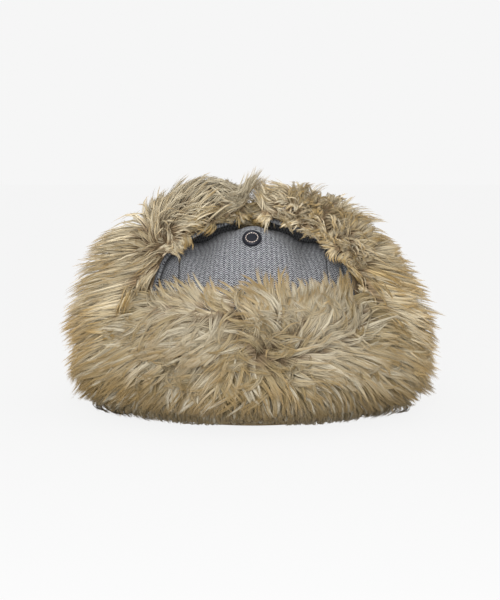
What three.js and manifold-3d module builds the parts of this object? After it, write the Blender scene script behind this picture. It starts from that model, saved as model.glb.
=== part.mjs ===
// A trooper hat: a hollow crown in ribbed knit, and four turned-up flaps faced with deep fur.
// Millimetres, +Z up, front of the hat at -Y. The folds of the flaps rest on z = 0.

import * as THREE from "three";
import { mergeVertices } from "three/addons/utils/BufferGeometryUtils.js";
import Module from "manifold-3d";

const wasm = await Module();
wasm.setup();

const { degToRad, smoothstep, lerp } = THREE.MathUtils;

// Crown, measured on the outside of the knit
const CROWN_HALF_WIDTH = 90;
const CROWN_HALF_DEPTH = 100;
const CROWN_DOME_HEIGHT = 148;
const CROWN_WIDTH_CURVE = { power: 6, shoulder: 0.425 };
const CROWN_DEPTH_CURVE = { power: 4, shoulder: 0.6 };
const CROWN_KNIT = 2.4;
const CROWN_HEIGHTS = [2.7, 38, 75, 97, 114, 126, 135.5, 142.3, 146.5, 148];
const CROWN_COLUMNS = 28;
const CREST_RISE = 3;
const CREST_SPREAD = 22;
const PEAK = { rise: 13, y: -42, halfWidth: 24, halfDepth: 20 };
const DENT_DEPTH = 8;
const RELIEF_FROM_HEIGHT = 97;
const DENT_FROM_MIDDLE = 43;
const DENT_SPREAD = 10;
const SIDE_SEAM_FROM_MIDDLE = 61;
const SEAM_GAP = 0.5;

// Flaps
const FLAP_KNIT = 2.2;
const FRONT_FLAP_HALF_TURN = 56;
const NECK_FLAP_HALF_TURN = 50.5;
const EAR_FLAP_MIDDLE = 4;
const EAR_FLAP_DEPTH = 104;
const FUR_GAP = 0.3;
const PELT_SEAT = 0.9;

// Snap, in a frame whose +Z points out of the crown
const SNAP_TURN = -0.8;
const SNAP_HEIGHT = 133.6;
const SNAP_ELEVATION = 44;
const SNAP_SIDES = 16;
const SNAP_SHANK_RADIUS = 2;
const SNAP_HOLE_RADIUS = 2.4;
const SNAP_HOLE_LENGTH = 16;

// The knit of the front and neck flaps, from under the crown's edge, round the fold and up.
// out is the distance from the crown's rim line, outwards.
const turnedUpKnit = [
  { out: -3.4, height: 0 },
  { out: 0.6, height: 0 },
  { out: 2.8, height: 0.6 },
  { out: 3.8, height: 2.6 },
  { out: 4.0, height: 34 },
  { out: 4.8, height: 62 },
  { out: 6.4, height: 89 },
];

// The fur of the front and neck flaps, a row for each level. pile is its depth.
const turnedUpFur = [
  { out: 3.8, height: 0.6, pile: 12 },
  { out: 4.0, height: 11, pile: 30 },
  { out: 4.1, height: 36, pile: 41 },
  { out: 4.8, height: 62, pile: 41 },
  { out: 6.4, height: 87, pile: 33 },
  { out: 4.2, height: 102, pile: 19 },
];

// An ear flap from under the crown's edge, up the side and over the top of the crown.
// reach is its distance from the middle plane, halfSpan half its width from front to back. Its front edge
// hangs by sag and its back edge by droop. Where it has fur, the fur stands past the knit's edges by
// overhang, and pile is its depth.
const earFlap = [
  { reach: 86.6, height: 0, halfSpan: 56, sag: 0, droop: 0 },
  { reach: 90.6, height: 0, halfSpan: 56.5, sag: 0, droop: 0 },
  { reach: 92.8, height: 0.6, halfSpan: 57, sag: 0, droop: 0, overhang: 6, pile: 12 },
  { reach: 93.8, height: 2.6, halfSpan: 57.5, sag: 0, droop: 0 },
  { reach: 94.4, height: 13, halfSpan: 57.8, sag: 0, droop: 0, overhang: 8, pile: 37 },
  { reach: 95.5, height: 34, halfSpan: 58, sag: 0, droop: 0, overhang: 11, pile: 51 },
  { reach: 96.5, height: 66, halfSpan: 58, sag: 0, droop: 0, overhang: 12, pile: 51 },
  { reach: 95.5, height: 92, halfSpan: 57, sag: 1, droop: 1, overhang: 12, pile: 45 },
  { reach: 90.5, height: 114, halfSpan: 54, sag: 3, droop: 3, overhang: 11, pile: 38 },
  { reach: 80, height: 133.5, halfSpan: 49, sag: 4, droop: 8, overhang: 10, pile: 33 },
  { reach: 63, height: 146.5, halfSpan: 45, sag: 4, droop: 14, overhang: 10, pile: 30 },
  { reach: 43, height: 155.5, halfSpan: 42, sag: 4, droop: 17, overhang: 9, pile: 28 },
  { reach: 27, height: 160.5, halfSpan: 38, sag: 4, droop: 16, overhang: 8, pile: 26 },
  { reach: 15, height: 163, halfSpan: 32, sag: 3, droop: 13, overhang: 6, pile: 20 },
  { reach: 8, height: 164.5, halfSpan: 25, sag: 2, droop: 11, overhang: 5, pile: 12 },
];

// How much of its depth the fur keeps over the top of the crown, on each side.
const TOP_FULLNESS = { left: 1.06, right: 0.9 };

// The fur's underside rises from the table by these slopes, from a distance outside the rim line.
const UNDERSIDE = { from: 15, to: 115, start: 0.3, frontSlope: 0.34, sideSlope: 0.2, sides: 24 };

// Where the fur of neighbouring flaps meets: a point on the crown's rim line and one far outside.
const FRONT_PARTING = { near: [60, -54], far: [240, -81] };
const BACK_PARTING = { near: [54, 59.6], far: [240, 120] };
const TOP_PARTING = { left: 3.5, right: 5 };
const ROOM_HEIGHT = 240;
const ROOM_EDGE = 260;

// Locks of fur
const LOCK_SIDES = 4;
const LOCK_STATIONS = [
  { along: 0, girth: 1 },
  { along: 0.56, girth: 0.82 },
];
const LOCK_FLATNESS = 0.62;

const knitGrey = new THREE.MeshStandardMaterial({ color: 0x83848a, roughness: 0.95, metalness: 0 });
const knitShade = new THREE.MeshStandardMaterial({ color: 0x5e5f63, roughness: 0.95, metalness: 0 });
const furTan = new THREE.MeshStandardMaterial({ color: 0xab9871, roughness: 0.85, metalness: 0 });
const snapEnamel = new THREE.MeshStandardMaterial({ color: 0x23252d, roughness: 0.25, metalness: 0.3 });
const snapSteel = new THREE.MeshStandardMaterial({ color: 0x8b8d91, roughness: 0.35, metalness: 1 });

// Solids and meshes

function toSolid(geometry) {
  const bare = geometry.clone();
  bare.deleteAttribute("normal");
  bare.deleteAttribute("uv");
  const merged = mergeVertices(bare, 1e-4);
  const corners = merged.index.array;
  const kept = [];
  for (let i = 0; i < corners.length; i += 3) {
    const [a, b, c] = corners.slice(i, i + 3);
    if (a !== b && b !== c && c !== a) kept.push(a, b, c);
  }
  const vertProperties = new Float32Array(merged.attributes.position.array);
  const triVerts = new Uint32Array(kept);
  return new wasm.Manifold(new wasm.Mesh({ numProp: 3, vertProperties, triVerts }));
}

function toMesh(name, solid, material) {
  const cut = solid.getMesh();
  const geometry = new THREE.BufferGeometry();
  const places = new Float32Array((cut.vertProperties.length / cut.numProp) * 3);
  for (let i = 0; i < places.length / 3; i += 1) {
    for (let k = 0; k < 3; k += 1) places[3 * i + k] = cut.vertProperties[cut.numProp * i + k];
  }
  geometry.setAttribute("position", new THREE.BufferAttribute(places, 3));
  geometry.setIndex(new THREE.BufferAttribute(new Uint32Array(cut.triVerts), 1));
  geometry.computeVertexNormals();
  const mesh = new THREE.Mesh(geometry, material);
  mesh.name = name;
  return mesh;
}

function sequence(count, make) {
  return Array.from({ length: count }, (_, i) => make(i));
}

function gridNormal(grid, row, column, wraps) {
  const columns = grid[0].length;
  const before = wraps ? (column - 1 + columns) % columns : Math.max(column - 1, 0);
  const after = wraps ? (column + 1) % columns : Math.min(column + 1, columns - 1);
  const along = grid[row][after].clone().sub(grid[row][before]);
  const below = grid[Math.max(row - 1, 0)][column];
  const above = grid[Math.min(row + 1, grid.length - 1)][column];
  const normal = along.cross(above.clone().sub(below));
  if (normal.length() < 1e-6) return new THREE.Vector3(0, 0, 1);
  return normal.normalize();
}

// Moves each point of a grid along the surface's normal, by a distance that may change over the grid.
function raised(grid, distance, wraps = false) {
  return grid.map((line, row) => line.map((point, column) => {
    const by = typeof distance === "function" ? distance(row, column) : distance;
    return point.clone().addScaledVector(gridNormal(grid, row, column, wraps), by);
  }));
}

// The closed solid between two grids of the same size, the outer one first.
function between(outer, inner, wraps = false) {
  const rows = outer.length;
  const columns = outer[0].length;
  const places = [];
  const faces = [];
  for (const grid of [outer, inner]) {
    for (const line of grid) for (const p of line) places.push(p.x, p.y, p.z);
  }
  const at = (layer, row, column) => layer * rows * columns + row * columns + (column % columns);
  const quad = (a, b, c, d) => faces.push(a, b, c, a, c, d);
  const spans = wraps ? columns : columns - 1;
  for (let r = 0; r < rows - 1; r += 1) {
    for (let c = 0; c < spans; c += 1) {
      quad(at(0, r, c), at(0, r, c + 1), at(0, r + 1, c + 1), at(0, r + 1, c));
      quad(at(1, r, c), at(1, r + 1, c), at(1, r + 1, c + 1), at(1, r, c + 1));
    }
  }
  for (let c = 0; c < spans; c += 1) {
    quad(at(1, 0, c), at(1, 0, c + 1), at(0, 0, c + 1), at(0, 0, c));
    quad(at(0, rows - 1, c), at(0, rows - 1, c + 1), at(1, rows - 1, c + 1), at(1, rows - 1, c));
  }
  for (let r = 0; r < rows - 1 && !wraps; r += 1) {
    const end = columns - 1;
    quad(at(0, r, 0), at(0, r + 1, 0), at(1, r + 1, 0), at(1, r, 0));
    quad(at(0, r, end), at(1, r, end), at(1, r + 1, end), at(0, r + 1, end));
  }
  const geometry = new THREE.BufferGeometry();
  geometry.setAttribute("position", new THREE.BufferAttribute(new Float32Array(places), 3));
  geometry.setIndex(faces);
  return toSolid(geometry);
}

// An upright block over a plan outline, standing on the floor.
function room(outline) {
  const plan = new THREE.Shape(outline.map(([x, y]) => new THREE.Vector2(x, y)));
  return toSolid(new THREE.ExtrudeGeometry(plan, { depth: ROOM_HEIGHT, bevelEnabled: false }));
}

// Crown

// The crest along the middle of the crown, its peak over the front and the dents beside it.
function crownRelief(x, y, height) {
  const top = smoothstep(height, RELIEF_FROM_HEIGHT, CROWN_DOME_HEIGHT);
  const crest = CREST_RISE * Math.exp(-((x / CREST_SPREAD) ** 2));
  const peak = PEAK.rise * Math.exp(-((x / PEAK.halfWidth) ** 2) - ((y - PEAK.y) / PEAK.halfDepth) ** 2);
  const front = 1 - smoothstep(y, -15, 45);
  const dent = DENT_DEPTH * Math.exp(-(((Math.abs(x) - DENT_FROM_MIDDLE) / DENT_SPREAD) ** 2));
  return top * (crest + peak - dent * front);
}

// How much of its width or depth the crown keeps at a height.
function kept(curve, height) {
  return (1 - (height / CROWN_DOME_HEIGHT) ** curve.power) ** curve.shoulder;
}

// A point of the crown's outside. turn is the angle in degrees from the front towards +X.
function crownPoint(turn, height) {
  const x = CROWN_HALF_WIDTH * kept(CROWN_WIDTH_CURVE, height) * Math.sin(degToRad(turn));
  const y = -CROWN_HALF_DEPTH * kept(CROWN_DEPTH_CURVE, height) * Math.cos(degToRad(turn));
  return new THREE.Vector3(x, y, height + crownRelief(x, y, height));
}

function crownGrid() {
  const step = 360 / CROWN_COLUMNS;
  return CROWN_HEIGHTS.map((height) => sequence(CROWN_COLUMNS, (c) => crownPoint(c * step, height)));
}

function crownShell() {
  const outside = crownGrid();
  return between(outside, raised(outside, -CROWN_KNIT, true), true);
}

// The space that fur must leave free: the crown with a gap round it, and all that is inside it.
function crownKeepOut() {
  const skin = raised(crownGrid(), FUR_GAP, true);
  const core = skin.map((line, row) => line.map(() => new THREE.Vector3(0, 0, row)));
  return between(skin, core, true);
}

// Flaps

// A point on the ellipse that lies a given distance outside the crown's rim line.
function rimPoint(turn, out, height) {
  const x = (CROWN_HALF_WIDTH + out) * Math.sin(degToRad(turn));
  const y = -(CROWN_HALF_DEPTH + out) * Math.cos(degToRad(turn));
  return new THREE.Vector3(x, y, height);
}

// The front and neck flaps are widest at the fold, with rounded upper corners.
function turnedUpGrid(rows, middleTurn, halfTurn, columns, shorten) {
  return rows.map((row) => sequence(columns, (c) => {
    const across = (2 * c) / (columns - 1) - 1;
    const height = row.height * (1 - shorten * Math.abs(across) ** 4);
    return rimPoint(middleTurn + halfTurn * across, row.out, height);
  }));
}

// The knit of a flap, or with a gap the space round it that fur must leave free.
function turnedUpKnitSolid(middleTurn, halfTurn, gap = 0) {
  const outside = turnedUpGrid(turnedUpKnit, middleTurn, halfTurn + gap, 13, 0.16);
  return between(raised(outside, gap), raised(outside, -FLAP_KNIT - gap));
}

// side is -1 for the ear flap at -X and 1 for the one at +X.
function earGrid(rows, side, columns, margin) {
  return rows.map((row) => sequence(columns, (c) => {
    const fromMiddle = side * ((2 * c) / (columns - 1) - 1) * (row.halfSpan + margin(row));
    const y = EAR_FLAP_MIDDLE + fromMiddle;
    const depth = row.height > 0.3 ? EAR_FLAP_DEPTH : CROWN_HALF_DEPTH + row.reach - CROWN_HALF_WIDTH;
    const x = side * row.reach * Math.sqrt(1 - (y / depth) ** 2);
    const hang = fromMiddle < 0 ? row.sag : row.droop;
    return new THREE.Vector3(x, y, row.height - hang * (fromMiddle / row.halfSpan) ** 2);
  }));
}

function earKnitSolid(side, gap = 0) {
  const outside = earGrid(earFlap, side, 9, () => gap);
  return between(raised(outside, gap), raised(outside, -FLAP_KNIT - gap));
}

// Fur

// A repeatable number from 0 to 1 for the nth lock.
function scatter(n, salt) {
  const value = Math.sin(n * 12.9898 + salt * 78.233) * 43758.5453;
  return value - Math.floor(value);
}

// One pointed lock that starts at root, sets out along heading and bends towards sway.
function lock(root, heading, sway, length, radius) {
  const places = [];
  const faces = [];
  const middleAt = (t) => root.clone()
    .addScaledVector(heading, length * t * (1 - 0.5 * t))
    .addScaledVector(sway, 0.5 * length * t * t);
  const flat = new THREE.Vector3().crossVectors(heading, sway);
  if (flat.length() < 0.05) flat.crossVectors(heading, new THREE.Vector3(0.2, 0.3, 1));
  flat.normalize();
  const thin = new THREE.Vector3().crossVectors(heading, flat).normalize();
  for (const { along, girth } of LOCK_STATIONS) {
    for (let k = 0; k < LOCK_SIDES; k += 1) {
      const angle = (2 * Math.PI * k) / LOCK_SIDES;
      const p = middleAt(along)
        .addScaledVector(flat, radius * girth * Math.cos(angle))
        .addScaledVector(thin, radius * girth * LOCK_FLATNESS * Math.sin(angle));
      places.push(p.x, p.y, p.z);
    }
  }
  const tip = middleAt(1);
  places.push(tip.x, tip.y, tip.z, root.x, root.y, root.z);
  const tipAt = LOCK_STATIONS.length * LOCK_SIDES;
  for (let k = 0; k < LOCK_SIDES; k += 1) {
    const next = (k + 1) % LOCK_SIDES;
    for (let s = 0; s < LOCK_STATIONS.length - 1; s += 1) {
      const a = s * LOCK_SIDES;
      const b = a + LOCK_SIDES;
      faces.push(a + k, b + k, b + next, a + k, b + next, a + next);
    }
    const last = tipAt - LOCK_SIDES;
    faces.push(last + k, tipAt, last + next, k, next, tipAt + 1);
  }
  const geometry = new THREE.BufferGeometry();
  geometry.setAttribute("position", new THREE.BufferAttribute(new Float32Array(places), 3));
  geometry.setIndex(faces);
  const solid = toSolid(geometry);
  if (solid.volume() > 0) return solid;
  geometry.setIndex(faces.toReversed());
  return toSolid(geometry);
}

// Locks over a pelt, in staggered rows. combed gives the lie of the fur at a place on the pelt, as its
// lean along the grid's columns and rows, and length its length.
function locksOver(backs, faces, rowsAt, columnsPerRow, combed) {
  const solids = [];
  rowsAt.forEach((level, r) => {
    for (let k = 0; k < columnsPerRow; k += 1) {
      const n = r * columnsPerRow + k;
      const stagger = (r % 2) * 0.5 + 0.25 + 0.4 * (scatter(n, 1) - 0.5);
      const across = THREE.MathUtils.clamp((k + stagger) / columnsPerRow, 0.02, 0.98);
      const spot = onGrid(faces, level, across);
      const back = onGrid(backs, level, across);
      const outward = spot.point.clone().sub(back.point).normalize();
      const { lean, rise, lift, length, radius } = combed(level, across, scatter(n, 2));
      const lie = spot.along.clone().multiplyScalar(lean).addScaledVector(spot.up, rise).normalize();
      const heading = outward.clone().multiplyScalar(lift).addScaledVector(lie, 1 - lift).normalize();
      const root = spot.point.clone().addScaledVector(outward, -radius * 0.55).addScaledVector(lie, -length * 0.2);
      solids.push(lock(root, heading, lie, length, radius));
    }
  });
  return solids;
}

// The place on a grid at fractions of its rows and columns, with its directions along both.
function onGrid(grid, level, across) {
  const row = Math.min(Math.floor(level * (grid.length - 1)), grid.length - 2);
  const column = Math.min(Math.floor(across * (grid[0].length - 1)), grid[0].length - 2);
  const v = level * (grid.length - 1) - row;
  const u = across * (grid[0].length - 1) - column;
  const lower = grid[row][column].clone().lerp(grid[row][column + 1], u);
  const upper = grid[row + 1][column].clone().lerp(grid[row + 1][column + 1], u);
  const left = grid[row][column].clone().lerp(grid[row + 1][column], v);
  const right = grid[row][column + 1].clone().lerp(grid[row + 1][column + 1], v);
  const up = upper.clone().sub(lower).normalize();
  const along = right.sub(left).normalize();
  return { point: lower.lerp(upper, v), along, up };
}

function turnedUpFurSolid(middleTurn, halfTurn, spread, columnsPerRow) {
  const columns = 11;
  const seat = raised(turnedUpGrid(turnedUpFur, middleTurn, halfTurn + 5, columns, 0.16), PELT_SEAT);
  const pile = (row, column) => {
    const across = (2 * column) / (columns - 1) - 1;
    return turnedUpFur[row].pile * (1 + spread * across ** 2);
  };
  const face = raised(seat, pile).map((line) => line.map((p) => p.setZ(Math.max(p.z, 0.2))));
  const combed = (level, across, chance) => {
    const side = 2 * across - 1;
    return {
      lean: 1.5 * side,
      rise: 2.1 * (level - 0.56) + 0.25 * (chance - 0.5),
      lift: 0.36 + 0.1 * chance,
      length: 52 + 14 * chance,
      radius: 12.5 + 3 * chance,
    };
  };
  const locks = locksOver(seat, face, [0.16, 0.4, 0.62, 0.86], columnsPerRow, combed);
  return wasm.Manifold.union([between(face, seat), ...locks]);
}

function earFurSolid(side) {
  const columns = 9;
  const rows = earFlap.filter((row) => row.pile);
  const seat = raised(earGrid(rows, side, columns, (row) => row.overhang), PELT_SEAT);
  const fullness = side < 0 ? TOP_FULLNESS.left : TOP_FULLNESS.right;
  const pile = (row, column) => {
    const across = (2 * column) / (columns - 1) - 1;
    const full = lerp(1, fullness, smoothstep(rows[row].height, 60, 130));
    return rows[row].pile * full * (1 - 0.55 * across ** 4);
  };
  const face = raised(seat, pile).map((line) => line.map((p) => p.setZ(Math.max(p.z, 0.2))));
  const combed = (level, across, chance) => {
    const top = smoothstep(level, 0.5, 0.95);
    return {
      lean: lerp(1.4, 0.7, top) * (2 * across - 1),
      rise: lerp(2.4 * (level - 0.36), 1.3, top) + 0.25 * (chance - 0.5),
      lift: lerp(0.4, 0.28, top) + 0.08 * chance,
      length: lerp(54, 36, top) + 10 * chance,
      radius: lerp(13.5, 10, top) + 2.5 * chance,
    };
  };
  const locks = locksOver(seat, face, [0.1, 0.26, 0.44, 0.65, 0.87], 5, combed);
  return wasm.Manifold.union([between(face, seat), ...locks]);
}

// Rooms that keep the fur of each flap to its own side of the partings, all in the plan.
function frontRoom() {
  const { near, far } = FRONT_PARTING;
  const half = [[near[0], near[1] - SEAM_GAP], [far[0], far[1] - SEAM_GAP], [far[0], -ROOM_EDGE]];
  return room([...half, ...half.toReversed().map(([x, y]) => [-x, y])]);
}

function backRoom() {
  const { near, far } = BACK_PARTING;
  const half = [[near[0], near[1] + SEAM_GAP], [far[0], far[1] + SEAM_GAP], [far[0], ROOM_EDGE]];
  return room([...half, ...half.toReversed().map(([x, y]) => [-x, y])]);
}

function sideRoom(side) {
  const middle = side < 0 ? TOP_PARTING.left : TOP_PARTING.right;
  const front = FRONT_PARTING;
  const back = BACK_PARTING;
  const mirrored = ([x, y]) => [side * x, y];
  return room([
    [middle, front.near[1]],
    mirrored(front.near),
    mirrored(front.far),
    mirrored(back.far),
    mirrored(back.near),
    [middle, back.near[1]],
  ]);
}

// What the underside of the fur leaves free over the table, all round the hat.
function underFur() {
  const turns = sequence(UNDERSIDE.sides, (c) => (c * 360) / UNDERSIDE.sides);
  const level = (out, below) => turns.map((turn) => {
    const slope = lerp(UNDERSIDE.sideSlope, UNDERSIDE.frontSlope, Math.cos(degToRad(turn)) ** 2);
    const height = UNDERSIDE.start + (out - UNDERSIDE.from) * slope;
    return rimPoint(turn, out, below ? -UNDERSIDE.from : height);
  });
  const top = [level(UNDERSIDE.to, false), level(UNDERSIDE.from, false)];
  const bottom = [level(UNDERSIDE.to, true), level(UNDERSIDE.from, true)];
  return between(top, bottom, true);
}

// Snap

function turned(profile) {
  const outline = profile.map(([radius, height]) => new THREE.Vector2(radius, height));
  return new THREE.LatheGeometry(outline, SNAP_SIDES).rotateX(Math.PI / 2);
}

const snapCapProfile = [
  [0, 2.6],
  [2.3, 2.6],
  [2.3, 1.1],
  [7.2, 1.1],
  [8, 2.0],
  [7.9, 3.3],
  [7.1, 4.3],
  [6.3, 4.4],
  [5.6, 3.7],
  [3.2, 3.3],
  [0, 3.2],
];

const snapPostProfile = [
  [0, -5.4],
  [4.3, -5.4],
  [4.7, -5],
  [4.7, -4.3],
  [SNAP_SHANK_RADIUS, -4.3],
  [SNAP_SHANK_RADIUS, 2.2],
  [0, 2.2],
];

function snapFrame() {
  const seat = crownPoint(SNAP_TURN, SNAP_HEIGHT);
  const elevation = degToRad(SNAP_ELEVATION);
  const facing = new THREE.Vector3(-0.06, -Math.cos(elevation), Math.sin(elevation)).normalize();
  const turn = new THREE.Quaternion().setFromUnitVectors(new THREE.Vector3(0, 0, 1), facing);
  return new THREE.Matrix4().compose(seat, turn, new THREE.Vector3(1, 1, 1));
}

function snapSolid(profile) {
  return toSolid(turned(profile).applyMatrix4(snapFrame()));
}

function snapHole() {
  const hole = new THREE.CylinderGeometry(SNAP_HOLE_RADIUS, SNAP_HOLE_RADIUS, SNAP_HOLE_LENGTH, SNAP_SIDES);
  return toSolid(hole.rotateX(Math.PI / 2).applyMatrix4(snapFrame()));
}

// Assembly

function crownPanels() {
  const shell = crownShell();
  const half = SEAM_GAP / 2;
  const slab = (from, to) => room([[from, -ROOM_EDGE], [to, -ROOM_EDGE], [to, ROOM_EDGE], [from, ROOM_EDGE]]);
  const inner = SIDE_SEAM_FROM_MIDDLE - half;
  const outer = SIDE_SEAM_FROM_MIDDLE + half;
  return [
    toMesh("crown_centre_panel", shell.intersect(slab(-inner, inner)).subtract(snapHole()), knitGrey),
    toMesh("crown_left_panel", shell.intersect(slab(-ROOM_EDGE, -outer)), knitGrey),
    toMesh("crown_right_panel", shell.intersect(slab(outer, ROOM_EDGE)), knitGrey),
  ];
}

function flapKnits() {
  return [
    toMesh("front_flap_knit", turnedUpKnitSolid(0, FRONT_FLAP_HALF_TURN), knitShade),
    toMesh("neck_flap_knit", turnedUpKnitSolid(180, NECK_FLAP_HALF_TURN), knitShade),
    toMesh("left_ear_flap_knit", earKnitSolid(-1), knitShade),
    toMesh("right_ear_flap_knit", earKnitSolid(1), knitShade),
  ];
}

function flapFurs() {
  const keepOut = wasm.Manifold.union([
    crownKeepOut(),
    underFur(),
    turnedUpKnitSolid(0, FRONT_FLAP_HALF_TURN, FUR_GAP),
    turnedUpKnitSolid(180, NECK_FLAP_HALF_TURN, FUR_GAP),
    earKnitSolid(-1, FUR_GAP),
    earKnitSolid(1, FUR_GAP),
  ]);
  const furs = {
    front_flap_fur: turnedUpFurSolid(0, FRONT_FLAP_HALF_TURN, 0.35, 8).intersect(frontRoom()),
    neck_flap_fur: turnedUpFurSolid(180, NECK_FLAP_HALF_TURN, 0.15, 7).intersect(backRoom()),
    left_ear_flap_fur: earFurSolid(-1).intersect(sideRoom(-1)),
    right_ear_flap_fur: earFurSolid(1).intersect(sideRoom(1)),
  };
  return Object.entries(furs).map(([name, fur]) => toMesh(name, largestPiece(fur.subtract(keepOut)), furTan));
}

// Cutting may leave crumbs of lock tips, which are dropped.
function largestPiece(solid) {
  const pieces = solid.decompose();
  return pieces.reduce((most, piece) => (piece.volume() > most.volume() ? piece : most));
}

function snapPieces() {
  return [
    toMesh("snap_cap", snapSolid(snapCapProfile), snapEnamel),
    toMesh("snap_post", snapSolid(snapPostProfile), snapSteel),
  ];
}

const group = new THREE.Group();
group.add(...crownPanels(), ...flapKnits(), ...flapFurs(), ...snapPieces());

export default group;
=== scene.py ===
# A trooper hat on a table: a crown in ribbed grey knit, four turned-up flaps in deep tan fur, and a snap.
# The front of the hat is at -Y. Shapes are worked out in millimetres and written to the meshes in metres.

import math

import bpy
import numpy as np
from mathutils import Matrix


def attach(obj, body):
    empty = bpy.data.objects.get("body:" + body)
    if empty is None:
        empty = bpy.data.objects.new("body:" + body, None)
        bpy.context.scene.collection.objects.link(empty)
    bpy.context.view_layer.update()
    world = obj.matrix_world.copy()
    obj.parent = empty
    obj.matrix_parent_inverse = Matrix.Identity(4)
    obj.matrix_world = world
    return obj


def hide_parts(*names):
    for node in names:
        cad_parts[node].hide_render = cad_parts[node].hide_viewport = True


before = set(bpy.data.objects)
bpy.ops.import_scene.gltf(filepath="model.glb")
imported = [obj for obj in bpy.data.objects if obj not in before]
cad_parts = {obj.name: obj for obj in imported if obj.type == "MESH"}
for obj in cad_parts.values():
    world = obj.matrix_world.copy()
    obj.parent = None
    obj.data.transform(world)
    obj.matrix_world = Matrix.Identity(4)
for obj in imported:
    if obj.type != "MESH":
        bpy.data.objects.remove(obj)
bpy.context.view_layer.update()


# Crown: three panels of ribbed melange knit, seamed where the top turns into the sides.
# The centre panel runs from the front rim over the top to the back rim, with its ribs along it.
# Its sides are cut from the same knit at a slant. The crown stands on the folds of the flaps.

METRES = 0.001

crown_half_width = 90.0
crown_half_depth = 100.0
crown_dome_height = 148.0
crown_width_curve = {"power": 6.0, "shoulder": 0.425}
crown_depth_curve = {"power": 4.0, "shoulder": 0.6}
crown_rim_height = 2.7
crown_knit = 2.4
crest_rise = 3.0
crest_spread = 22.0
peak = {"rise": 13.0, "y": -42.0, "half_width": 24.0, "half_depth": 20.0}
relief_from_height = 97.0
dent_depth = 8.0
dent_from_middle = 43.0
dent_spread = 10.0
dents_fade_from = -15.0
dents_fade_to = 45.0
side_seam_from_middle = 61.0
side_panel_slant = 24.0
seam_gap = 0.5
rib_pitch = 4.4
rib_relief = 0.02
rib_roundness = 0.7
rib_sink = 0.4
course_pitch = 2.2

# The backing of a wall of cloth has every fourth row and column of its face.
coarse = 4

# The knit's own map, in millimetres to a unit, and the flat sheet that a wall is laid out on: from its foot
# up, the face, the backing and four strips for the edges.
knit_map = 100.0
sheet_margin = 0.02
face_strip = (0.01, 0.7)
backing_strip = (0.72, 0.92)
edge_strips_from = 0.93
edge_strip_pitch = 0.016
edge_strip_height = 0.012


def smoothstep(low, high, value):
    t = np.clip((value - low) / (high - low), 0.0, 1.0)
    return t * t * (3.0 - 2.0 * t)


def lerp(a, b, t):
    return a + (b - a) * t


def unit(vectors):
    length = np.linalg.norm(vectors, axis=-1, keepdims=True)
    return vectors / np.maximum(length, 1e-9)


def kept(curve, height):
    """How much of its width or depth the crown keeps at a height."""
    level = np.clip(height / crown_dome_height, 0.0, 0.99999)
    return (1 - level ** curve["power"]) ** curve["shoulder"]


def crown_relief(x, y, height):
    """How far the crest along the middle, its peak over the front and the dents beside it lift the dome."""
    top = smoothstep(relief_from_height, crown_dome_height, height)
    crest = crest_rise * np.exp(-((x / crest_spread) ** 2))
    from_peak = (x / peak["half_width"]) ** 2 + ((y - peak["y"]) / peak["half_depth"]) ** 2
    crest = crest + peak["rise"] * np.exp(-from_peak)
    front = 1.0 - smoothstep(dents_fade_from, dents_fade_to, y)
    dent = dent_depth * np.exp(-(((np.abs(x) - dent_from_middle) / dent_spread) ** 2))
    return top * (crest - dent * front)


def outside_dome(x, y, height):
    """True for places outside the dome, which is the crown without its crest and dents."""
    width = crown_half_width * kept(crown_width_curve, height)
    depth = crown_half_depth * kept(crown_depth_curve, height)
    return ((x / width) ** 2 + (y / depth) ** 2 > 1.0) | (height >= crown_dome_height)


def grid_normals(grid):
    across = np.gradient(grid, axis=1)
    up = np.gradient(grid, axis=0)
    return unit(np.cross(across, up))


def distances(grid, axis):
    """How far each place of a grid is from its first row, axis 0, or its first column, axis 1."""
    steps = np.diff(grid, axis=axis, prepend=grid[:1] if axis == 0 else grid[:, :1])
    return np.cumsum(np.linalg.norm(steps, axis=-1), axis=axis)


def centre_panel_grid(rows, columns):
    """Rows from the front rim over the top to the back rim, columns from -X to +X."""
    stations = 300
    halvings = 40
    past_the_dome = 200.0
    half = side_seam_from_middle - seam_gap / 2
    x = np.linspace(-half, half, columns)[None, :]
    rim = math.asin(crown_rim_height / crown_half_depth)
    angle = np.linspace(rim, math.pi - rim, stations)[:, None]
    low = np.zeros((stations, columns))
    high = np.full((stations, columns), past_the_dome)
    for _ in range(halvings):
        reach = (low + high) / 2
        y = -reach * np.cos(angle)
        z = reach * np.sin(angle)
        beyond = outside_dome(x + 0 * y, y, z)
        high = np.where(beyond, reach, high)
        low = np.where(beyond, low, reach)
    curve = np.stack([x + 0 * y, y, z + crown_relief(x, y, z)], axis=-1)
    along = distances(curve, 0)
    grid = np.empty((rows, columns, 3))
    for c in range(columns):
        wanted = np.linspace(0.0, along[-1, c], rows)
        for k in range(3):
            grid[:, c, k] = np.interp(wanted, along[:, c], curve[:, c, k])
    return grid


def side_panel_grid(side, rows, columns):
    """The cheek of the dome beyond a seam: rows from the rim to the seam's top, where they lie closer
    together, and columns from front to back."""
    row_crowding = 0.8
    seam = side_seam_from_middle + seam_gap / 2
    curve = crown_width_curve
    share = (seam / crown_half_width) ** (1 / curve["shoulder"])
    top = crown_dome_height * (1 - share) ** (1 / curve["power"])
    height = lerp(crown_rim_height, top, np.linspace(0.0, 1.0, rows)[:, None] ** row_crowding)
    width = crown_half_width * kept(crown_width_curve, height)
    depth = crown_half_depth * kept(crown_depth_curve, height)
    reach = depth * np.sqrt(np.maximum(1 - (seam / width) ** 2, 1e-6))
    spread = np.sin(np.linspace(-math.pi / 2, math.pi / 2, columns))[None, :]
    y = reach * spread * (-side)
    x = side * width * np.sqrt(np.maximum(1 - (y / depth) ** 2, 0.0))
    return np.stack([x, y, height + crown_relief(x, y, height)], axis=-1)


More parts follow.
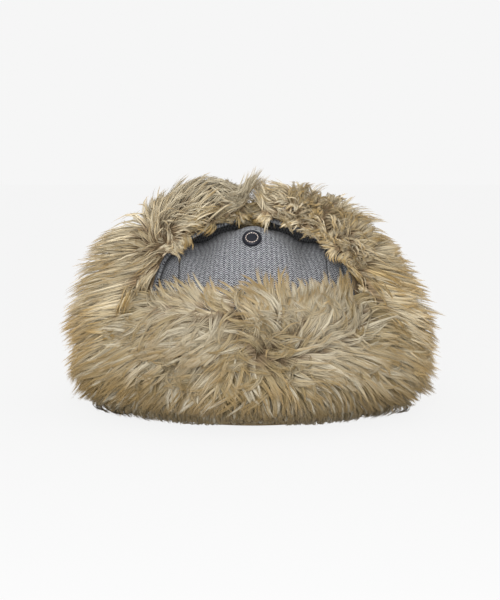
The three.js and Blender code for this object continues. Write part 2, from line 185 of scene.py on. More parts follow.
def knit_places(grid, slant_degrees=0.0):
    """Distances over the cloth, across and along its ribs, in millimetres."""
    middle = grid.shape[1] // 2
    across = distances(grid, 1)
    across = across - across[:, middle:middle + 1]
    along = distances(grid, 0)
    slant = math.radians(slant_degrees)
    return np.stack([
        across * math.cos(slant) + along * math.sin(slant),
        along * math.cos(slant) - across * math.sin(slant),
    ], axis=-1)


def new_object(name, data):
    made = bpy.data.objects.new(name, data)
    bpy.context.scene.collection.objects.link(made)
    return made


def new_mesh_object(name, points, corners, sizes):
    """A piece from points in millimetres, the corners of all its faces, and how many each face has."""
    mesh = bpy.data.meshes.new(name)
    mesh.vertices.add(len(points))
    mesh.vertices.foreach_set("co", (np.asarray(points, dtype=np.float32) * METRES).ravel())
    mesh.loops.add(len(corners))
    mesh.loops.foreach_set("vertex_index", np.asarray(corners, dtype=np.int32))
    mesh.polygons.add(len(sizes))
    starts = np.concatenate([[0], np.cumsum(sizes)[:-1]]).astype(np.int32)
    mesh.polygons.foreach_set("loop_start", starts)
    mesh.polygons.foreach_set("loop_total", np.asarray(sizes, dtype=np.int32))
    mesh.polygons.foreach_set("use_smooth", np.ones(len(sizes), dtype=bool))
    mesh.update(calc_edges=True)
    return new_object(name, mesh)


def add_layer(piece, name, places):
    layer = piece.data.uv_layers.new(name=name)
    layer.data.foreach_set("uv", np.asarray(places, dtype=np.float32).ravel())


def spread_out(rows, columns, low, high):
    """Places for a grid's points on a strip of a flat sheet, from low to high up the sheet."""
    across = np.linspace(sheet_margin, 1 - sheet_margin, columns)
    return np.stack(np.meshgrid(across, np.linspace(low, high, rows)), axis=-1).reshape(-1, 2)


def wall(name, face, backing, places):
    """A closed wall of cloth: its fine face, its coarse backing and its four edges."""
    rows, columns = face.shape[:2]
    fine = np.arange(rows * columns).reshape(rows, columns)
    back_rows, back_columns = backing.shape[:2]
    back = rows * columns + np.arange(back_rows * back_columns).reshape(back_rows, back_columns)
    quads = np.concatenate([
        np.stack([fine[:-1, :-1], fine[:-1, 1:], fine[1:, 1:], fine[1:, :-1]], axis=-1).reshape(-1, 4),
        np.stack([back[:-1, :-1], back[1:, :-1], back[1:, 1:], back[:-1, 1:]], axis=-1).reshape(-1, 4),
    ])
    triangles = []
    rim_places = []
    rims = [
        (fine[0], back[0], 1), (fine[-1], back[-1], -1),
        (fine[:, 0], back[:, 0], -1), (fine[:, -1], back[:, -1], 1),
    ]
    for n, (fine_line, back_line, way) in enumerate(rims):
        low = edge_strips_from + edge_strip_pitch * n
        high = low + edge_strip_height
        reach = (1 - 2 * sheet_margin) / (len(back_line) - 1)
        for j in range(len(back_line) - 1):
            start = sheet_margin + reach * j
            for i in range(j * coarse, (j + 1) * coarse):
                triangles.append((fine_line[i], back_line[j], fine_line[i + 1])[::way])
                at = sheet_margin + reach / coarse * i
                rim_places.append(((at, low), (start, high), (at + reach / coarse, low))[::way])
            triangles.append((back_line[j], back_line[j + 1], fine_line[(j + 1) * coarse])[::way])
            rim_places.append(((start, high), (start + reach, high), (start + reach, low))[::way])
    corners = np.concatenate([quads.ravel(), np.array(triangles).ravel()])
    sizes = np.concatenate([np.full(len(quads), 4), np.full(len(triangles), 3)])
    points = np.concatenate([face.reshape(-1, 3), backing.reshape(-1, 3)])
    piece = new_mesh_object(name, points, corners, sizes)
    flat = np.concatenate([places.reshape(-1, 2), places[::coarse, ::coarse].reshape(-1, 2)])
    add_layer(piece, "knit", flat[corners] / knit_map)
    sheet = np.concatenate([
        spread_out(rows, columns, *face_strip), spread_out(back_rows, back_columns, *backing_strip),
    ])
    add_layer(piece, "OFBake", np.concatenate([sheet[quads.ravel()], np.array(rim_places).reshape(-1, 2)]))
    return piece


def ribbed(grid, places):
    """Raises the face of the knit into its ribs."""
    phase = np.abs(np.cos(np.pi * places[..., 0] / rib_pitch))
    rise = rib_relief * (phase ** rib_roundness - rib_sink)
    return grid + grid_normals(grid) * rise[..., None]


class Wire:
    """A number that varies over a surface. Arithmetic on it adds Math nodes."""

    def __init__(self, finish, socket):
        self.finish = finish
        self.socket = socket

    def math(self, operation, *others):
        return self.finish.math(operation, self, *others)

    def __add__(self, other):
        return self.math("ADD", other)

    def __sub__(self, other):
        return self.math("SUBTRACT", other)

    def __rsub__(self, other):
        return self.finish.math("SUBTRACT", other, self)

    def __mul__(self, other):
        return self.math("MULTIPLY", other)

    def __pow__(self, other):
        return self.math("POWER", other)

    __radd__ = __add__
    __rmul__ = __mul__


class Finish:
    """A material in the making, with its Principled shader."""

    def __init__(self, name, **constants):
        self.material = bpy.data.materials.new(name)
        self.material.use_nodes = True
        self.tree = self.material.node_tree
        self.tree.nodes.clear()
        self.shader = self.tree.nodes.new("ShaderNodeBsdfPrincipled")
        output = self.tree.nodes.new("ShaderNodeOutputMaterial")
        self.tree.links.new(self.shader.outputs["BSDF"], output.inputs["Surface"])
        for socket, value in constants.items():
            self.shader.inputs[socket.replace("_", " ")].default_value = value

    def plug(self, socket, value):
        if isinstance(value, Wire):
            self.tree.links.new(value.socket, socket)
        else:
            socket.default_value = value

    def node(self, kind, settings, values, output=0):
        """Adds a node: its settings first, then its sockets by name or number. Returns one of its outputs."""
        made = self.tree.nodes.new(kind)
        for key, value in settings.items():
            setattr(made, key, value)
        for socket, value in values.items():
            self.plug(made.inputs[socket], value)
        return Wire(self, made.outputs[output])

    def math(self, operation, *values):
        return self.node("ShaderNodeMath", {"operation": operation}, dict(enumerate(values)))

    def parts(self, kind, socket, value, names):
        """The parts of a vector or a colour, in the order of their names."""
        return [self.node(kind, {}, {socket: value}, name) for name in names]

    def colour_mix(self, factor, low, high, blend="MIX"):
        settings = {"data_type": "RGBA", "blend_type": blend}
        sockets = {0: factor, 6: low, 7: high}
        return self.node("ShaderNodeMix", settings, sockets, 2)

    def ramp(self, value, low, high):
        """0 where value is low, 1 where it is high, with a smooth step between."""
        settings = {"interpolation_type": "SMOOTHSTEP"}
        return self.node("ShaderNodeMapRange", settings, {"Value": value, "From Min": low, "From Max": high})

    def noise(self, vector, scale, detail, roughness):
        sockets = {"Vector": vector, "Scale": scale, "Detail": detail, "Roughness": roughness}
        return self.node("ShaderNodeTexNoise", {}, sockets, "Fac")

    def mottle(self, scale, detail, roughness, dark, light):
        """Colours the shader by noise through the space that the piece fills, and returns the noise."""
        noise = self.noise(self.node("ShaderNodeTexCoord", {}, {}, "Object"), scale, detail, roughness)
        self.feed("Base Color", self.colour_mix(noise, dark, light))
        return noise

    def bump(self, height, strength, distance):
        sockets = {"Strength": strength, "Distance": distance, "Height": height}
        self.feed("Normal", self.node("ShaderNodeBump", {}, sockets))

    def feed(self, socket, value):
        self.plug(self.shader.inputs[socket], value)

    def put_on(self, piece):
        piece.data.materials.clear()
        piece.data.materials.append(self.material)


def dress(piece, finish, node=None):
    """Gives a piece its finish and sets it on the hat's one body. It takes the place of a node, if one is
    named."""
    finish.put_on(piece)
    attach(piece, "root")
    if node:
        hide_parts(node)


# Flecks lie along the yarn, so many to a rib and to a course, and the courses stray from level. Holes are
# measured in millimetres from their middles, and are flattened along the rib.
fleck_across = 2.4
fleck_along = 1.1
fleck_contrast = 2.3
strand_contrast = 0.9
tone_shift = 1.16
stray_scale = 0.45
stray_layer = 7.0
stray_reach = 0.4
hole_core = 0.6
hole_edge = 1.15
hole_flatness = 2.2
hole_raggedness = 0.3
strand_slant = 2.0


def knit_finish(name, hole_shade, dark, light):
    """Ribbed melange yarn: columns of small round holes, with slanting strands between them."""
    knit = Finish(name, Roughness=0.95, Specular_IOR_Level=0.12, Sheen_Weight=0.1, Sheen_Roughness=0.6)
    place = knit.node("ShaderNodeUVMap", {"uv_map": "knit"}, {}, "UV")
    map_across, map_along = knit.parts("ShaderNodeSeparateXYZ", "Vector", place, ("X", "Y"))
    across = map_across * (knit_map / rib_pitch)
    along = map_along * (knit_map / course_pitch)
    stretched = knit.node("ShaderNodeCombineXYZ", {}, {"X": across * fleck_across, "Y": along * fleck_along})
    fibre = knit.noise(stretched, 1.0, 3.0, 0.65)
    stray_sockets = {"X": across * stray_scale, "Y": along * stray_scale, "Z": stray_layer}
    strayed = knit.noise(knit.node("ShaderNodeCombineXYZ", {}, stray_sockets), 1.0, 1.0, 0.5)
    course = along + strayed * stray_reach
    from_middle = ((across + 0.5).math("FRACT") - 0.5).math("ABSOLUTE")
    hole_across = (0.5 - from_middle) * rib_pitch
    hole_along = (course.math("FRACT") - 0.5) * course_pitch
    from_hole = (hole_across * hole_across + hole_along * hole_along * hole_flatness) ** 0.5
    pit = knit.ramp(from_hole + (fibre - 0.5) * hole_raggedness, hole_edge, hole_core)
    leg = course + from_middle * strand_slant
    strand = (leg * (2 * math.pi)).math("COSINE") * 0.5 + 0.5
    tone = fibre * fleck_contrast - tone_shift + strand * strand_contrast
    yarn = knit.colour_mix(knit.ramp(tone, 0.0, 1.0), dark, light)
    # The holes are painted near black as the shade in the gaps between stitches.
    knit.feed("Base Color", knit.colour_mix(pit, yarn, hole_shade))
    knit.bump(strand * 0.45 + fibre * 0.2 - pit * 0.8, 0.6, 0.0005)
    return knit


crown_finish = knit_finish(
    "crown_knit",
    hole_shade=(0.012, 0.012, 0.02, 1.0), dark=(0.022, 0.023, 0.028, 1.0), light=(0.33, 0.337, 0.352, 1.0),
)


def add_crown_panel(node, grid, slant_degrees=0.0):
    places = knit_places(grid, slant_degrees)
    backing = (grid - grid_normals(grid) * crown_knit)[::coarse, ::coarse]
    panel = wall(f"{node}_knit", ribbed(grid, places), backing, places)
    dress(panel, crown_finish, node)


add_crown_panel("crown_centre_panel", centre_panel_grid(coarse * 40 + 1, coarse * 28 + 1))
for side, side_name in ((-1, "left"), (1, "right")):
    side_grid = side_panel_grid(side, coarse * 16 + 1, coarse * 34 + 1)
    add_crown_panel(f"crown_{side_name}_panel", side_grid, side_panel_slant * side)


# Flap knit: each flap is the crown's knit again, in darker colours of painted shade, folded up at the rim,
# with the fur sewn to its outside.
# The folds carry the hat. The ear flaps go up the sides and lean over the top of the crown.

flap_knit = 2.2
flap_corner_rounding = 0.16
front_flap_half_turn = 56.0
neck_flap_half_turn = 50.5
ear_flap_middle = 4.0
ear_flap_depth = 104.0

# The lists of a flap's table run along it from its fold. out is the distance outwards from the crown's rim.
turned_up_knit = {
    "out": [-3.4, 0.6, 2.8, 3.8, 4.0, 4.8, 6.4],
    "height": [0.0, 0.0, 0.6, 2.6, 34.0, 62.0, 89.0],
}

# reach is the distance from the middle plane, half_span half the flap's width from front to back. The front
# edge hangs by sag and the back edge by droop.
ear_flap = {
    "reach": [86.6, 90.6, 92.8, 93.8, 94.4, 95.5, 96.5, 95.5, 90.5, 80.0, 63.0, 43.0, 27.0, 15.0, 8.0],
    "height": [0.0, 0.0, 0.6, 2.6, 13.0, 34.0, 66.0, 92.0, 114.0, 133.5, 146.5, 155.5, 160.5, 163.0, 164.5],
    "half_span": [56.0, 56.5, 57.0, 57.5, 57.8, 58.0, 58.0, 57.0, 54.0, 49.0, 45.0, 42.0, 38.0, 32.0, 25.0],
    "sag": [0.0, 0.0, 0.0, 0.0, 0.0, 0.0, 0.0, 1.0, 3.0, 4.0, 4.0, 4.0, 4.0, 3.0, 2.0],
    "droop": [0.0, 0.0, 0.0, 0.0, 0.0, 0.0, 0.0, 1.0, 3.0, 8.0, 14.0, 17.0, 16.0, 13.0, 11.0],
}


def smooth_rows(flap, count):
    """A flap's table as rows at even distances, on smooth curves. Its first two lists are its profile."""
    table = np.stack(list(flap.values()), axis=1)
    knots = distances(table[:, :2], 0)
    slopes = np.gradient(table, knots, axis=0)
    wanted = np.linspace(0.0, knots[-1], count)
    span = np.clip(np.searchsorted(knots, wanted) - 1, 0, len(knots) - 2)
    length = (knots[span + 1] - knots[span])[:, None]
    t = (wanted - knots[span])[:, None] / length
    values = (
        (2 * t ** 3 - 3 * t ** 2 + 1) * table[span]
        + (t ** 3 - 2 * t ** 2 + t) * length * slopes[span]
        + (-2 * t ** 3 + 3 * t ** 2) * table[span + 1]
        + (t ** 3 - t ** 2) * length * slopes[span + 1]
    )
    return {name: values[:, i][:, None] for i, name in enumerate(flap)}


def turned_up_grid(rows, middle_turn, half_turn, columns):
    """A front or neck flap: columns run round the rim, and the upper corners are rounded off."""
    across = np.linspace(-1.0, 1.0, columns)[None, :]
    turn = np.radians(middle_turn + half_turn * across)
    x = (crown_half_width + rows["out"]) * np.sin(turn)
    y = -(crown_half_depth + rows["out"]) * np.cos(turn)
    height = np.maximum(rows["height"], 0.0) * (1 - flap_corner_rounding * np.abs(across) ** 4)
    return np.stack([x, y, height], axis=-1)


def ear_grid(rows, side, columns, margin=0.0):
    """An ear flap: columns run from front to back on the right, and from back to front on the left."""
    from_middle = side * np.linspace(-1.0, 1.0, columns)[None, :] * (rows["half_span"] + margin)
    y = ear_flap_middle + from_middle
    x = side * rows["reach"] * np.sqrt(1 - (y / ear_flap_depth) ** 2)
    hang = np.where(from_middle < 0, rows["sag"], rows["droop"])
    height = np.maximum(rows["height"], 0.0) - hang * (from_middle / rows["half_span"]) ** 2
    return np.stack([x, y, np.maximum(height, 0.0)], axis=-1)


# The flap cloth is the crown's knit painted darker all over, as shade, since it lies in the shadow of the
# fur.
flap_shade_finish = knit_finish(
    "flap_knit",
    hole_shade=(0.01, 0.01, 0.014, 1.0), dark=(0.04, 0.041, 0.043, 1.0), light=(0.18, 0.184, 0.19, 1.0),
)


def add_flap_knit(flap, outside):
    """The face of the cloth is turned to the crown, so the grid is mirrored to face inwards. Flat, the cloth
    is as wide as its widest row and as long as its middle column."""
    face = (outside - grid_normals(outside) * flap_knit)[:, ::-1]
    piece = wall(f"{flap}_cloth", face, outside[::coarse, ::-coarse], knit_places(face))
    dress(piece, flap_shade_finish, f"{flap}_knit")


turned_up_rows = smooth_rows(turned_up_knit, coarse * 12 + 1)
front_seat = turned_up_grid(turned_up_rows, 0.0, front_flap_half_turn, coarse * 11 + 1)
neck_seat = turned_up_grid(turned_up_rows, 180.0, neck_flap_half_turn, coarse * 11 + 1)
add_flap_knit("front_flap", front_seat)
add_flap_knit("neck_flap", neck_seat)
ear_rows = smooth_rows(ear_flap, coarse * 20 + 1)
for side, side_name in ((-1, "left"), (1, "right")):
    ear_seat = ear_grid(ear_rows, side, coarse * 9 + 1)
    add_flap_knit(f"{side_name}_ear_flap", ear_seat)


# Fur: long silky pile on a pelt that is sewn to the outside of each flap. It lies in pointed locks that
# run away from a parting in the middle of the flap, hang over the table below and stand up at the edges.
# Each flap's fur is an undercoat on the pelt, and hairs drawn together into locks and the locks into tufts.

pelt_gap = 0.9
undercoat_share = 0.4
undercoat_thinnest = 0.8
guide_steps = 10
hair_stations = 5
hair_clearance = 1.8

# The last rows and the outer columns of a pelt stand past the edges of the cloth.
free_edge = 4

# pile is the depth of the fur. overhang is how far it stands past the front and back edges of an ear flap.
turned_up_fur = {
    "out": [3.8, 4.0, 4.1, 4.8, 6.4, 4.2],
    "height": [0.6, 11.0, 36.0, 62.0, 87.0, 102.0],
    "pile": [12.0, 30.0, 41.0, 41.0, 33.0, 19.0],
}
ear_fur_stations = [2, 4, 5, 6, 7, 8, 9, 10, 11, 12, 13, 14]
ear_fur = {name: [values[i] for i in ear_fur_stations] for name, values in ear_flap.items()}
ear_fur["overhang"] = [6.0, 8.0, 11.0, 12.0, 12.0, 11.0, 10.0, 10.0, 9.0, 8.0, 6.0, 5.0]
ear_fur["pile"] = [12.0, 37.0, 51.0, 51.0, 45.0, 38.0, 33.0, 30.0, 28.0, 26.0, 20.0, 12.0]

# Heights between which the fur turns from low to not low, and from not high to high, for its painted shade.
low_shade_heights = (8.0, 46.0)
high_shade_heights = (125.0, 165.0)

# How much a path turns to the lie at each step, how much a lock lies as its tuft does, the shares of stray
# hairs and of pale locks, and how far a hair waves to its sides and rolls over.
lie_pull = 0.3
tuft_hold = 0.65
bend_strength = 1.6
stray_share = 0.05
pale_share = 0.1
hair_wave = 0.7
hair_roll = 0.6

# A lock is this wide at its root, in spacings of locks, and this flat. Stray hairs start this far from its
# middle and end farther out.
lock_root = 0.75
lock_flatness = 0.7
stray_start = 2.8
stray_widening = 2.4

# The fur's underside is just over the table, and rises by a slope from a distance outside the rim line.
underside_lowest = 0.3
underside_front = {"from": 8.0, "slope": 0.35}
underside_side = {"from": 52.5, "slope": 0.9}


def on_grid(grid, level, across):
    """Values of a grid at fractions of its rows and columns, both from 0 to 1."""
    row = np.clip(level, 0, 1) * (grid.shape[0] - 1)
    column = np.clip(across, 0, 1) * (grid.shape[1] - 1)
    r = np.minimum(row.astype(int), grid.shape[0] - 2)
    c = np.minimum(column.astype(int), grid.shape[1] - 2)
    v = row - r
    u = column - c
    if grid.ndim == 3:
        v = v[..., None]
        u = u[..., None]
    lower = lerp(grid[r, c], grid[r, c + 1], u)
    upper = lerp(grid[r + 1, c], grid[r + 1, c + 1], u)
    return lerp(lower, upper, v)


def wander(places, scale, seed):
    """A smooth, repeatable wobble between about -1 and 1 that changes over a distance of scale."""
    draw = np.random.default_rng(seed)
    total = np.zeros(places.shape[:-1])
    for k in range(4):
        way = unit(draw.normal(size=3))
        total += np.sin(places @ way * (6.28 / scale) * (0.7 + 0.25 * k) + draw.uniform(0.0, 6.28))
    return total / 2.4


def out_of_crown(places):
    """Moves what would be inside the crown out to its surface, a little at a time."""
    centre = np.array([0.0, 0.0, 50.0])
    pushes = 14
    push = 1.022
    inner = 1 - hair_clearance / crown_half_width
    for _ in range(pushes):
        x, y, z = np.moveaxis(places, -1, 0)
        level = z - crown_relief(x, y, z) - hair_clearance
        inside = ~outside_dome(x * inner, y * inner, level)
        places = np.where(inside[..., None], centre + (places - centre) * push, places)
    return places


def underside_height(places):
    """The height of the fur's underside over the table, above or below each place."""
    x, y = places[..., 0], places[..., 1]
    turn = np.arctan2(x / crown_half_width, -y / crown_half_depth)
    out = np.hypot(x, y) - np.hypot(crown_half_width * np.sin(turn), crown_half_depth * np.cos(turn))
    front = np.cos(turn) ** 2
    start = lerp(underside_side["from"], underside_front["from"], front)
    slope = lerp(underside_side["slope"], underside_front["slope"], front)
    return underside_lowest + np.maximum(out - start, 0.0) * slope


class Pelt:
    """The base of a flap's fur: a grid of places on the flap, and the depth of the pile over each."""

    def __init__(self, seat, pile, free_rows):
        self.cloth_rows = seat.shape[0] - free_rows
        self.seat = seat + grid_normals(seat) * pelt_gap
        self.seat[..., 2] = np.maximum(self.seat[..., 2], 0.6)
        self.pile = pile
        self.normals = grid_normals(self.seat)
        self.column_way = np.gradient(self.seat, axis=1) * (seat.shape[1] - 1)
        self.row_way = np.gradient(self.seat, axis=0) * (seat.shape[0] - 1)

    def scattered(self, spacing, band, rng):
        """Places about a spacing apart over the outside of the pile, as fractions of the rows and columns.
        A band gives the lowest and highest fraction of the rows, then of the columns."""
        low_level, high_level, low_across, high_across = band
        skin = self.seat + self.normals * self.pile[..., None] * 0.7
        tall = np.linalg.norm(np.diff(skin, axis=0), axis=-1).sum(axis=0).mean() * (high_level - low_level)
        rows = max(round(tall / spacing), 1)
        levels, acrosses = [], []
        for r in range(rows):
            middle = lerp(low_level, high_level, (r + 0.5) / rows)
            row = skin[int(middle * (skin.shape[0] - 1))]
            wide = np.linalg.norm(np.diff(row, axis=0), axis=-1).sum() * (high_across - low_across)
            count = max(round(wide / spacing), 1)
            column = (np.arange(count) + rng.uniform(0.0, 1.0, count)) / count
            acrosses.append(lerp(low_across, high_across, column))
            levels.append(lerp(low_level, high_level, (r + rng.uniform(0.0, 1.0, count)) / rows))
        return np.concatenate(levels), np.concatenate(acrosses)

    def guides(self, level, across, lie, turn, bend, comb):
        """A path for each place. It follows the lie of the fur and goes straight on past the pelt's edges."""
        places, normals, depths = [], [], []
        heading = None
        for step in range(guide_steps + 1):
            at = np.clip(level, 0, 1), np.clip(across, 0, 1)
            base = on_grid(self.seat, *at)
            column_way, row_way = on_grid(self.column_way, *at), on_grid(self.row_way, *at)
            places.append(base + column_way * (across - at[1])[:, None] + row_way * (level - at[0])[:, None])
            normals.append(on_grid(self.normals, *at))
            depths.append(on_grid(self.pile, *at))
            lean, rise = lie(*at, base)
            angle = np.arctan2(rise, lean) + turn + bend * step / guide_steps
            local = np.stack([np.cos(angle), np.sin(angle)], axis=-1)
            heading = local if heading is None else unit(lerp(heading, local, lie_pull))
            stride = comb["length"] / guide_steps
            across = across + heading[:, 0] * stride / np.linalg.norm(column_way, axis=-1)
            level = level + heading[:, 1] * stride / np.linalg.norm(row_way, axis=-1)
        t = np.linspace(0.0, 1.0, guide_steps + 1)[None, :]
        share = lerp(comb["root"][:, None], comb["tip"][:, None], 1 - (1 - t) ** 2)
        rise = np.stack(depths, axis=1) * share + comb["lift"][:, None] * t ** 1.3
        path = np.stack(places, axis=1) + unit(np.stack(normals, axis=1)) * rise[..., None]
        return path + comb["sway"][:, None, :] * (comb["length"][:, None] * t ** 2)[..., None]


def along_path(path, share):
    """Places on paths at shares of their lengths. share has a row for each path."""
    at = np.clip(share, 0, 1) * (path.shape[1] - 1)
    s = np.minimum(at.astype(int), path.shape[1] - 2)
    lower = np.take_along_axis(path, s[..., None], axis=1)
    upper = np.take_along_axis(path, s[..., None] + 1, axis=1)
    return lerp(lower, upper, (at - s)[..., None])


def grow_hair(pelt, growth, rng):
    """Hairs over a pelt: their paths, the flat side of each and its tones. growth says where they grow and
    how they lie."""
    lie, comb_of = growth["lie"], growth["comb"]
    tuft_level, tuft_across = pelt.scattered(growth["tufts"], growth["band"], rng)
    tuft_place = on_grid(pelt.seat, tuft_level, tuft_across)
    tufts = len(tuft_level)
    tuft_turn, tuft_bend = np.radians(rng.normal(0.0, growth["unrest"], (2, tufts)))
    tuft_comb = comb_of(tuft_level, tuft_across, tuft_place, rng)
    tuft_path = pelt.guides(tuft_level, tuft_across, lie, tuft_turn, bend_strength * tuft_bend, tuft_comb)
    tuft_tone = 0.5 + growth["shade"] + 0.25 * wander(tuft_place, 60.0, 6) + rng.normal(0.0, 0.16, tufts)

    level, across = pelt.scattered(growth["locks"], growth["band"], rng)
    place = on_grid(pelt.seat, level, across)
    locks = len(level)
    warp = np.stack([wander(place, 24.0, seed) for seed in (21, 22, 23)], axis=-1) * 4.0
    tuft = np.argmin(np.linalg.norm((place + warp)[:, None, :] - tuft_place[None], axis=-1), axis=1)
    comb = comb_of(level, across, place, rng)
    for key in comb:
        comb[key] = lerp(comb[key], tuft_comb[key][tuft], tuft_hold)
    turn, bend = np.radians(rng.normal(0.0, 0.6 * growth["unrest"], (2, locks)))
    bend = bend_strength * (tuft_bend[tuft] + bend)
    path = pelt.guides(level, across, lie, tuft_turn[tuft] + turn, bend, comb)
    t = np.linspace(0, 1, guide_steps + 1)[None, :, None]
    path = lerp(path, tuft_path[tuft], rng.uniform(*growth["gather"], locks)[:, None, None] * t ** 1.5)
    # Painted shade: the low fur near the table is painted more golden and dimmer, and the high fur over the
    # crown dimmer, as if in shadow.
    low = 1 - smoothstep(*low_shade_heights, path[..., 2].mean(axis=1))
    high = smoothstep(*high_shade_heights, place[:, 2])
    tone = np.clip(0.7 * tuft_tone[tuft] + 0.3 * rng.uniform(0, 1, locks) + growth["painted_shade_gold_low"] * low, 0, 1)
    tone = np.where(rng.uniform(0, 1, locks) < pale_share, 0.0, tone)

    below = path[..., 2] < underside_height(path)
    first_below = np.where(below.any(axis=1), np.argmax(below, axis=1), guide_steps + 1)
    reach = np.clip(first_below / guide_steps * rng.uniform(0.75, 1.1, locks), 0.25, 1.0)

    owner = np.repeat(np.arange(locks), growth["hairs"])
    hairs = len(owner)
    way = unit(path[:, guide_steps // 2] - path[:, 0])
    normal = unit(on_grid(pelt.normals, level, across))
    flat = unit(np.cross(way, normal + 0.01))
    angle = rng.uniform(0, 2 * np.pi, hairs)
    distance = np.sqrt(rng.uniform(0, 1, hairs))
    thin = np.cross(flat, way)
    offset = flat[owner] * (np.cos(angle) * distance)[:, None]
    offset = offset + thin[owner] * (np.sin(angle) * distance * lock_flatness)[:, None]
    stray = rng.uniform(0, 1, hairs) < stray_share
    t = np.linspace(0.0, 1.0, hair_stations)[None, :]
    share = t * (reach[owner] * rng.uniform(0.92, 1.0, hairs) * (1 - 0.06 * distance))[:, None]
    spread = rng.uniform(*growth["point"], locks)[owner][:, None]
    closing = spread + (growth["locks"] * lock_root - spread) * (1 - t) ** 1.2
    bundle = np.where(stray[:, None], stray_start + stray_widening * t, closing)
    hair = along_path(path[owner], share) + offset[:, None, :] * bundle[..., None]
    phase = t * rng.uniform(3.0, 6.5, hairs)[:, None] + rng.uniform(0, 6.28, hairs)[:, None]
    wave = rng.normal(0, hair_wave, hairs)[:, None] * np.sin(phase) * t
    hair = hair + flat[owner][:, None, :] * wave[..., None]
    hair = growth["within"](out_of_crown(hair))
    ragged = rng.uniform(0.0, 2.6, locks)[owner] + rng.uniform(0.2, 1.6, hairs)
    lowest = np.minimum(underside_height(hair), 14.0) + ragged[:, None] * (1 - 0.6 * t)
    hair[..., 2] = np.maximum(hair[..., 2], lowest)
    roll = rng.normal(0.0, hair_roll, hairs)[:, None]
    across_hair = flat[owner] * np.cos(roll) + thin[owner] * np.sin(roll)
    # Painted shade dims the low and the high hairs.
    shade_dimming = growth["painted_shade_low"] * low + growth["painted_shade_high"] * high
    brightness = rng.uniform(*growth["brightness"], hairs) * (1 - shade_dimming)[owner]
    return hair, across_hair, np.stack([tone[owner], brightness], axis=-1)


def hair_mesh(name, path, flat, tone, width):
    """Flat hairs that taper to their tips. Hairs of the same tones share a cell of the flat sheet. The colour
    layer holds how golden the lock is, the place along the hair and how bright the hair is."""
    cells = 32
    hairs, stations = path.shape[:2]
    rings = stations - 1
    tangent = unit(np.diff(path, axis=1))
    side = unit(flat[:, None, :] - tangent * (tangent * flat[:, None, :]).sum(axis=-1, keepdims=True))
    taper = 0.5 * width * (1.0 - 0.6 * np.linspace(0, 1, rings) ** 1.6)[None, :, None]
    edges = np.stack([path[:, :-1] - side * taper, path[:, :-1] + side * taper], axis=2)
    points = np.concatenate([edges.reshape(hairs, rings * 2, 3), path[:, -1:]], axis=1)
    per_hair = rings * 2 + 1
    faces = [[2 * s, 2 * s + 1, 2 * s + 3, 2 * s + 2] for s in range(rings - 1)]
    faces.append([2 * rings - 2, 2 * rings - 1, 2 * rings])
    template = np.concatenate(faces)
    first = (np.arange(hairs) * per_hair)[:, None]
    corners = (first + template[None, :]).ravel()
    sizes = np.tile([len(face) for face in faces], hairs)
    piece = new_mesh_object(name, points.reshape(-1, 3), corners, sizes)
    cell = np.minimum((tone * cells).astype(int), cells - 1)
    inside = np.array([(0.5 if v == 2 * rings else v % 2, v // 2 / rings) for v in template]) * 0.7 + 0.15
    add_layer(piece, "OFBake", (cell[:, None, :] + inside[None]) / cells)
    along = np.concatenate([np.repeat(np.linspace(0, 1, stations)[:-1], 2), [1.0]])
    # The first and third channels carry painted shade: the low fur more golden and dimmer, the high fur
    # dimmer.
    colour = np.ones((hairs, per_hair, 4), dtype=np.float32)
    colour[..., 0] = tone[:, :1]
    colour[..., 1] = along[None, :]
    colour[..., 2] = tone[:, 1:]
    layer = piece.data.color_attributes.new("strand", "FLOAT_COLOR", "POINT")
    layer.data.foreach_set("color", colour.ravel())
    return piece


def undercoat(name, pelt):
    """The body of short dense hair under the locks. It thins out to its edges, which lie over the cloth's."""
    on_cloth = (slice(0, pelt.cloth_rows), slice(free_edge, -free_edge))
    seat, normals, pile = pelt.seat[on_cloth], pelt.normals[on_cloth], pelt.pile[on_cloth]
    rows, columns = seat.shape[:2]
    from_ends = np.minimum(np.linspace(0, 1, rows), np.linspace(1, 0, rows))[:, None]
    from_sides = np.minimum(np.linspace(0, 1, columns), np.linspace(1, 0, columns))[None, :]
    full = smoothstep(0.0, 0.2, from_ends) * smoothstep(0.0, 0.28, from_sides)
    face = seat + normals * (undercoat_thinnest + pile * undercoat_share * full)[..., None]
    face[..., 2] = np.maximum(face[..., 2], underside_height(face))
    return wall(name, face, seat[::coarse, ::coarse], knit_places(face))


pale_hair = (0.79, 0.69, 0.495, 1.0)
tan_hair = (0.57, 0.43, 0.21, 1.0)
golden_hair = (0.455, 0.288, 0.09, 1.0)
# The roots are painted brown as the shade deep in the pile.
root_shade_brown = (0.38, 0.27, 0.155, 1.0)

fur_finish = Finish("deep_fur", Roughness=0.5, Specular_IOR_Level=0.35)
strand_data = fur_finish.node("ShaderNodeAttribute", {"attribute_name": "strand"}, {}, "Color")
channels = ("Red", "Green", "Blue")
lock_tone, along_hair, hair_tone = fur_finish.parts("ShaderNodeSeparateColor", "Color", strand_data, channels)
tanned = fur_finish.ramp(lock_tone * 0.8 + hair_tone * 0.45, 0.29, 0.94)
body_hair = fur_finish.colour_mix(tanned, pale_hair, tan_hair)
towards_tip = along_hair + (lock_tone - 0.5) * 0.35 + (hair_tone - 0.6) * 0.38
tipped_hair = fur_finish.colour_mix(fur_finish.ramp(towards_tip, 0.5, 1.0) * 0.85, body_hair, golden_hair)
root_shaded_hair = fur_finish.colour_mix(fur_finish.ramp(along_hair, 0.0, 0.4), root_shade_brown, tipped_hair)
# The third channel dims the hair at random and by the painted shade of the low and high fur.
light_kept = hair_tone * 0.7 + 0.2
brightness = fur_finish.node("ShaderNodeCombineColor", {}, {channel: light_kept for channel in channels})
fur_finish.feed("Base Color", fur_finish.colour_mix(1.0, root_shaded_hair, brightness, "MULTIPLY"))

